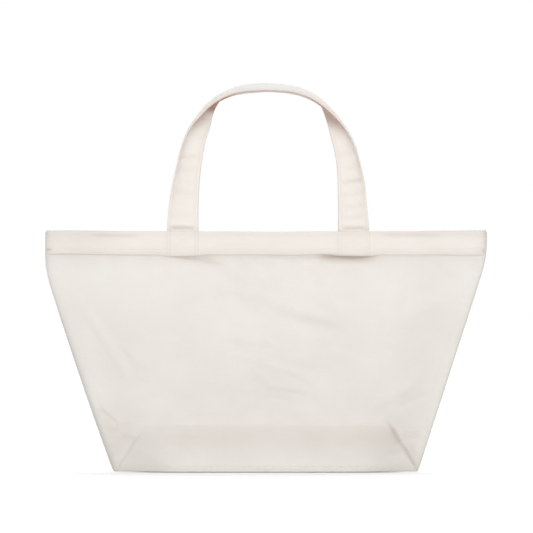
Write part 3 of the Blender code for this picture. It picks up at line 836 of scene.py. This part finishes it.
# Handles: one folded strap each, up from its sewn end, round the loop and down again
strap = {
    "step": 0.0016, "acrossSteps": 22,
    "nudge": 0.002,  # half the length that gives its direction
    "groove": 0.0003, "edgeRounding": 0.0016, "unevenness": 0.0007,
    # Share of the way up, then turn and roll of the left leg and of the right
    "turns": [(0, 0, 0, 0, 0), (0.05, 8, 22, 4, 50), (0.15, 17.3, 51.5, 12.5, 73.4),
              (0.3, 27.6, 92.8, 26.3, 99.8), (0.42, 30.2, 118.8, 34.3, 125.5),
              (0.52, 36.4, 156.9, 52.5, 120.9), (0.6, 62.2, 134.1, 71.8, 106.2),
              (0.67, 77.7, 105.2, 86.7, 74.5), (0.74, 90.1, 75.3, 97, 46.1),
              (0.84, 101.4, 30, 102.3, 21.9), (1, 103.2, 3, 103, 3)],
    "creaseReach": 0.0165,  # creases fade out before the stitched edges
    "creaseShade": (0.062, 0.076),  # painted shade in creases, for each millimetre of depth
    "footShade": 1.7,  # and how much darker beside the hem
    # By panel and leg: height above the hem, depth and half width in millimetres, and slant
    "creases": {
        (front, left): [(2.6, 2.1, 1.8, 0), (9.5, -2.6, 3.6, 0), (109, 1.4, 3.6, 0.25), (90, 0.8, 4.2, 0.1),
                        (22, 0.9, 4.8, 0.08), (56, 0.9, 4.6, -0.1), (76, -1, 5, 0.1)],
        (front, right): [(2.6, 1.7, 1.8, 0), (10, -1.8, 4.6, 0), (19, 1, 3.2, 0.1), (35.5, 1.1, 3, 0),
                         (53.5, 0.9, 3.6, -0.05), (73, 1.8, 3, 0.05), (92, 0.7, 4.2, 0.1),
                         (64, -0.9, 4.5, 0.05), (118, 0.8, 5, 0.15)],
        (rear, left): [(3, 1.4, 2.2, 0), (11.5, -1.8, 6, 0), (52, 0.7, 3.5, 0.08)],
        (rear, right): [(3, 1.4, 2.2, 0), (11.5, -2, 6, 0), (86, 0.7, 4, -0.15)],
    },
    # Deep in the roll, out of the light, it is given painted shade: where that begins and ends
    # on the way up, the angles and shares between which its edge moves, and the degrees it eases over
    "roll": {
        left: {"begins": (0.4, 0.68), "ends": (0.77, 0.85), "dark": 0.92, "angles": (66, -40),
               "over": (0.54, 0.75), "ease": 52, "beside": 0.66},
        right: {"begins": (0.34, 0.62), "ends": (0.7, 0.8), "dark": 0.58, "angles": (52, -50),
                "over": (0.4, 0.67), "ease": 75, "beside": 0},
    },
    "topGrey": 0.15,  # painted cool sky tint where the top turns to the sky
}
stitchLine = halfStrap - handle["stitchInset"]


def loopLine():
    # Middle line of a loop's right half, with the distance travelled
    angle = np.linspace(0, pi / 2, 2000)
    power = 2 / handle["roundness"]
    x = handle["spacing"] / 2 * np.clip(np.cos(angle), 0, 1) ** power
    z = handle["hinge"] + (handle["top"] - handle["hinge"]) * np.sin(angle) ** power
    x[-1] = 0
    return x, z, runLength(np.stack([x, z], -1))


loopX, loopZ, loopRun = loopLine()
loopLength = float(loopRun[-1])


def strapSection(side, run):
    # Middle, outward direction, turn, roll, distance above the hem and leg at a run, which is 0 at the top
    # and grows to the right
    hand = byHand(run, (left, right))
    up = loopLength - abs(run)
    share = np.clip(up / loopLength, 0, 1)
    x = np.interp(up, loopRun, loopX)
    z = np.where(up < 0, handle["hinge"] + up, np.interp(up, loopRun, loopZ))
    nudge = strap["nudge"]
    alongX, alongZ = (np.interp(up + nudge, loopRun, line) - np.interp(up - nudge, loopRun, line)
                      for line in (loopX, loopZ))
    overTop, sewnDown = up + nudge > loopLength, up < nudge
    alongX = np.where(overTop, -1, np.where(sewnDown, 0, alongX))
    alongZ = np.where(overTop, 0, np.where(sewnDown, 1, alongZ))
    length = np.hypot(alongX, alongZ)
    turn, roll = (byHand(run, [curveThrough(share, strap["turns"], column + more) for more in (0, 2)])
                  for column in (1, 2))
    outwards = points(hand * alongZ / length, 0, -alongX / length)
    sway = curveThrough(z, handle["sway"], 1)
    middle = points(hand * x + handle["shift"] + sway, side * handle["depth"], z)
    return middle, outwards, np.radians(turn), np.radians(np.maximum(roll, 0)), up, hand


def creaseSum(side, up, hand, across, fadeFrom, fadeTo, weigh):
    # Adds up the creases, each weighed by its leg, height and depth
    total = 0 * up
    for leg in (left, right):
        for height, depth, width, slant in strap["creases"][side, leg]:
            away = up / mm - height - slant * across / mm * hand
            total += weigh(leg, height, depth) * hill(away, 0, width) * (hand == leg)
    return total * (1 - ease(fadeFrom, fadeTo, abs(across) / strap["creaseReach"]))


def strapPlace(side, run, across, lift):
    # across counts towards the strap's outer edge, lift off the face that looks out at the hem
    middle, outwards, turn, roll, up, hand = strapSection(side, run)
    forwards = np.array([0, side, 0])
    bend = np.maximum(roll, 1e-4) / handle["width"]
    here = turn + bend * across
    alongOut = (np.sin(here) - np.sin(turn)) / bend
    alongForward = (np.cos(turn) - np.cos(here)) / bend
    normal = forwards * np.cos(here)[..., None] - outwards * np.sin(here)[..., None]
    uneven = cloudy(run, across * 0.6, 0.035, 71 + side) + 0.35 * cloudy(run, across, 0.012, 77 + side)
    lift = lift - mm * creaseSum(side, up, hand, across, 0.7, 1.3, lambda leg, height, depth: depth)
    lift = lift + strap["unevenness"] * uneven * ease(0, 0.03, up)
    place = middle + outwards * alongOut[..., None] + forwards * alongForward[..., None]
    return place + normal * lift[..., None], normal


def strapHalfThickness(across):
    # Full in the middle, drawn in at the stitching and rounded at the folded edges
    aside = abs(across)
    body = handle["thickness"] / 2 * 0.93
    toEdge = np.clip((halfStrap - aside) / strap["edgeRounding"], 0, 1)
    body -= strap["groove"] * hill(aside, stitchLine, 0.0011)
    body *= 1 - 0.24 * ease(stitchLine, halfStrap - 0.0012, aside)
    return body * np.sqrt(np.clip(1 - (1 - toEdge) ** 2, 0, 1))


def creaseShade(leg, height, depth):
    # Painted shade along the bottoms of the sharp creases only
    return byHand(leg, strap["creaseShade"]) * (strap["footShade"] if height < 4 else 1) * max(depth, 0)


def strapPaintedShading(side, run, across, outerFace):
    _, _, turn, roll, up, hand = strapSection(side, run)
    aside = abs(across)
    facing = np.degrees(turn + roll * across / handle["width"])
    share = up / loopLength
    # Painted shade along the stitching and the edges, deep in the roll, in creases and along the outer edge up
    # the loop, and the painted cool sky tint on the top
    shadeAndMottle = 0.02 + 0.06 * hill(aside, stitchLine, 0.0012) + 0.12 * hill(aside, halfStrap, 0.001)
    for leg, look in strap["roll"].items():
        beforeTop = 1 - ease(*look["ends"], share)
        edge = mix(*look["angles"], ease(*look["over"], share))
        rolled = look["dark"] * ease(0, look["ease"], facing - edge) * ease(*look["begins"], share)
        beside = look["beside"] * ease(6, 74, facing) * ease(0.48, 0.6, share)
        shadeAndMottle += np.maximum(rolled, beside) * beforeTop * outerFace * (hand == leg)
    shadeAndMottle += creaseSum(side, up, hand, across, 0.75, 1.15, creaseShade)
    shadeAndMottle += 0.52 * hill(across, halfStrap, 0.0014) * ease(0.5, 0.62, share)
    paintedGrey = strap["topGrey"] * ease(0.72, 0.86, share) * (1 - hill(aside, halfStrap, 0.002))
    return np.clip(shadeAndMottle, 0, 1), paintedGrey


def makeStrap(side):
    total = loopLength + handle["hinge"] - handle["sewnBottom"]
    runs = np.linspace(-total, total, 2 * round(total / strap["step"]) + 1)
    share = np.linspace(-1, 1, strap["acrossSteps"] * 2 + 1)
    across = halfStrap * np.sign(share) * np.sin(abs(share) * pi / 2) ** 0.9
    ring = np.concatenate([across, across[-2:0:-1]])
    face = np.where(np.arange(len(ring)) < len(across), 1, -1)
    run, across = np.meshgrid(runs, ring, indexing="ij")
    places, _ = strapPlace(side, run, across, strapHalfThickness(across) * face)
    shadeAndMottle, paintedGrey = strapPaintedShading(side, run, across, face > 0)
    name = sideNames[side] + "_handle"
    weave = points(across, run, 0)
    piece = gridMesh(name + "_strap", places, weave, shadeAndMottle, strapCanvas, closed=True, paintedGrey=paintedGrey)
    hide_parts(name, name + "_end_left", name + "_end_right")
    return piece


def blendHandle(piece):
    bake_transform(piece)


straps = {side: makeStrap(side) for side in (front, rear)}
print("straps ready")


# Stitching: each stitch is a short arched piece of thread that dips into the cloth at both ends
thread = {
    "radius": 0.00036,  # real 0.3 mm, a little thicker so that the rows show
    "pitch": 0.0034, "length": 0.0027, "sides": 6,
    "shares": (-0.5, -0.3, 0, 0.3, 0.5),  # rings along a stitch
    "girths": (0.45, 0.85, 1, 0.85, 0.45),  # and how thick each is
    "arch": (0.75, 4.4),  # height and fall in radii
    "stray": 0.06,
    "sunk": 0.00018,  # how far the strap's rows sink into it
    "seamShare": 0.985,  # where rows stop before the side seams
}


def resample(places, normals):
    # Middles of equal steps, with direction and normal
    run = runLength(places)
    count = max(1, int(run[-1] / thread["pitch"]))
    at = (np.arange(count) + 0.5) * run[-1] / count

    def read(table, where):
        return np.stack([np.interp(where, run, table[:, axis]) for axis in range(3)], -1)

    return read(places, at), unit(read(places, at + mm) - read(places, at - mm)), unit(read(normals, at))


def makeStitches(name, runs, node):
    shares, girths = np.array(thread["shares"]), np.array(thread["girths"]) * thread["radius"]
    swing = 2 * pi * np.arange(thread["sides"]) / thread["sides"]
    arch = thread["radius"] * (thread["arch"][0] - thread["arch"][1] * shares**2)
    stitches = []
    for places, normals in runs:
        middle, along, normal = resample(places, normals)
        sideways = unit(np.cross(along, normal))
        stray = thread["stray"] * np.array([noise.noise(Vector(place) * 900) for place in middle])
        along = along + sideways * stray[:, None]
        centre = middle[:, None] + along[:, None] * (shares * thread["length"])[:, None]
        centre = centre + normal[:, None] * arch[:, None]
        around = sideways[:, None] * np.cos(swing)[:, None] + normal[:, None] * np.sin(swing)[:, None]
        stitches.append(centre[:, :, None] + around[:, None] * girths[:, None, None])
    stitches = np.concatenate(stitches)
    index = np.arange(stitches[..., 0].size).reshape(stitches.shape[:3])
    here, ahead = index[:, :-1], index[:, 1:]
    faces = np.stack([here, ahead, np.roll(ahead, -1, axis=2), np.roll(here, -1, axis=2)], -1)
    faces = faces.reshape(-1, 4).tolist() + index[:, 0].tolist() + index[:, -1, ::-1].tolist()
    weave = points((shares * thread["length"])[:, None], swing * thread["radius"], 0)
    piece = clothMesh(name, stitches, faces, np.broadcast_to(weave, stitches.shape), cottonThread)
    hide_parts(node)
    return piece


def hemFace(side, u, z):
    # On the outer face of the hem
    plain, outward = bodyPlace(side, u, z)
    x = plain[..., 0]
    place = plain + outward * (outerLift(x, z) + cloth / 2)[..., None]
    place[..., 2] = z + hemShift(x, z)
    return place, outward


def uAt(side, x, z):
    # The columns whose loft lies at x
    grid = np.linspace(-1, 1, 801)
    return np.array([np.interp(a, loftPlace(side, grid, b)[0][:, 0], grid) for a, b in zip(x, z)])


def bodyRuns(side, rows, steps, surface, **more):
    u = np.linspace(-thread["seamShare"], thread["seamShare"], steps)
    return [surface(side, u, row, **more) for row in rows]


def boxRuns(side, leg):
    # A frame with a cross in it
    corners = [(leg + hand * boxHalf, z) for hand, z in (
        (left, boxLow), (right, boxLow), (right, boxHigh), (left, boxHigh))]
    runs = []
    for first, last in ((0, 1), (1, 2), (2, 3), (3, 0), (0, 2), (1, 3)):
        x, z = np.linspace(corners[first], corners[last], 40).T
        runs.append(hemFace(side, uAt(side, x, z), z))
    return runs


def strapRuns(side):
    limit = loopLength - 0.004
    run = np.linspace(-limit, limit, 900)
    runs = []
    for across in (-stitchLine, stitchLine):
        for face in (1, -1):
            lift = (strapHalfThickness(across) - thread["sunk"]) * face
            place, normal = strapPlace(side, run, across + 0 * run, lift)
            runs.append((place, normal * face))
    return runs


def sewToBag(start, end, runs):
    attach(makeStitches(start + "_stitches" + end, runs, start + "_stitching" + end), "bag")


for side in (front, rear):
    name = sideNames[side]
    sewToBag(name + "_hem", "", bodyRuns(side, [hemBottom + row for row in hem["rows"]], 700, hemFace))
    sewToBag(name + "_base", "", bodyRuns(side, baseRows, 500, bodyPlace, lift=cloth / 2))
    for hand, leg in zip((left, right), legs):
        sewToBag(name + "_box", "_" + handNames[hand], boxRuns(side, leg))
    blendHandle(makeStitches(name + "_strap_stitches", strapRuns(side), name + "_handle_stitching"))
    blendHandle(straps[side])
print("stitching ready")


for side in (front, rear):
    name = sideNames[side]


# Floor, light and camera
stage = {
    "floorHalf": 60, "floorDrop": 0.0004, "floorGrey": 0.93,
    "floorGlow": 0.14,  # for the camera only, so the bare floor reads white
    "dome": 0.42,
    # Strength, width in degrees and place of each large soft window
    "windows": [(1.4, 36, (0, -1, 0.5)), (1.65, 45, (0.05, 1, 0.86)),
                (0.34, 50, (-1, -0.25, 0.45)), (0.34, 50, (1, -0.25, 0.45))],
    "aim": (0.0003, 0.3072),
    "distance": 24,  # a long lens from far off, so the bag shows square
    "fieldWidth": 0.7975,  # of the bag's plane in the frame
    "sensor": 36, "farthest": 200,
}


def makeFloor():
    # Painted matt, so only the soft shadow of the bag shows on it
    material, add, shader = newMaterial("matt white board")
    setInputs(shader, {"Base Color": (stage["floorGrey"],) * 3 + (1,), "Roughness": 1,
                       "Specular IOR Level": 0})
    rays = add("LightPath", {})["Is Camera Ray"]
    lifted = add("Math", {0: rays, 1: stage["floorGlow"]}, operation="MULTIPLY")[0]
    glow = add("Emission", {"Color": (1, 1, 1, 1), "Strength": lifted})[0]
    both = add("AddShader", {0: shader.outputs[0], 1: glow})[0]
    setInputs(material.node_tree.nodes["Material Output"], {"Surface": both})
    half = stage["floorHalf"]
    corners = [(-half, -half, 0), (half, -half, 0), (half, half, 0), (-half, half, 0)]
    mesh = bpy.data.meshes.new("floor")
    mesh.from_pydata(corners, [], [(0, 1, 2, 3)])
    floor = addPiece("floor", mesh, material)
    floor.location.z = -stage["floorDrop"]


def makeWorld():
    # White to the camera and in gloss, dimmer as a light, so the pale cloth keeps its tones
    world = bpy.data.worlds.new("soft white studio")
    world.use_nodes = True
    bpy.context.scene.world = world
    add = partial(addNode, world.node_tree)
    rays = add("LightPath", {})
    seen = rays["Is Camera Ray"]
    for kind in ("Is Glossy Ray", "Is Transmission Ray"):
        seen = add("Math", {0: seen, 1: rays[kind]}, operation="MAXIMUM")[0]
    strength = add("MapRange", {"Value": seen, "To Min": stage["dome"], "To Max": 1})["Result"]
    setInputs(world.node_tree.nodes["Background"], {"Color": (1, 1, 1, 1), "Strength": strength})


def makeWindows():
    for strength, width, place in stage["windows"]:
        light = bpy.data.lights.new("large soft window", "SUN")
        light.energy = strength
        light.angle = radians(width)
        window = addPiece("large soft window", light)
        window.rotation_mode = "QUATERNION"
        window.rotation_quaternion = Vector(place).to_track_quat("Z", "Y")


def makeCamera():
    camera = bpy.data.cameras.new("camera")
    camera.sensor_width = stage["sensor"]
    camera.lens = stage["sensor"] * stage["distance"] / stage["fieldWidth"]
    camera.clip_end = stage["farthest"]
    holder = addPiece("camera", camera)
    holder.location = (stage["aim"][0], -stage["distance"], stage["aim"][1])
    holder.rotation_euler = (pi / 2, 0, 0)
    bpy.context.scene.camera = holder


makeFloor()
makeWorld()
makeWindows()
makeCamera()
bpy.context.scene.view_settings.view_transform = "Standard"
print("stage ready")

bpy.context.view_layer.update()
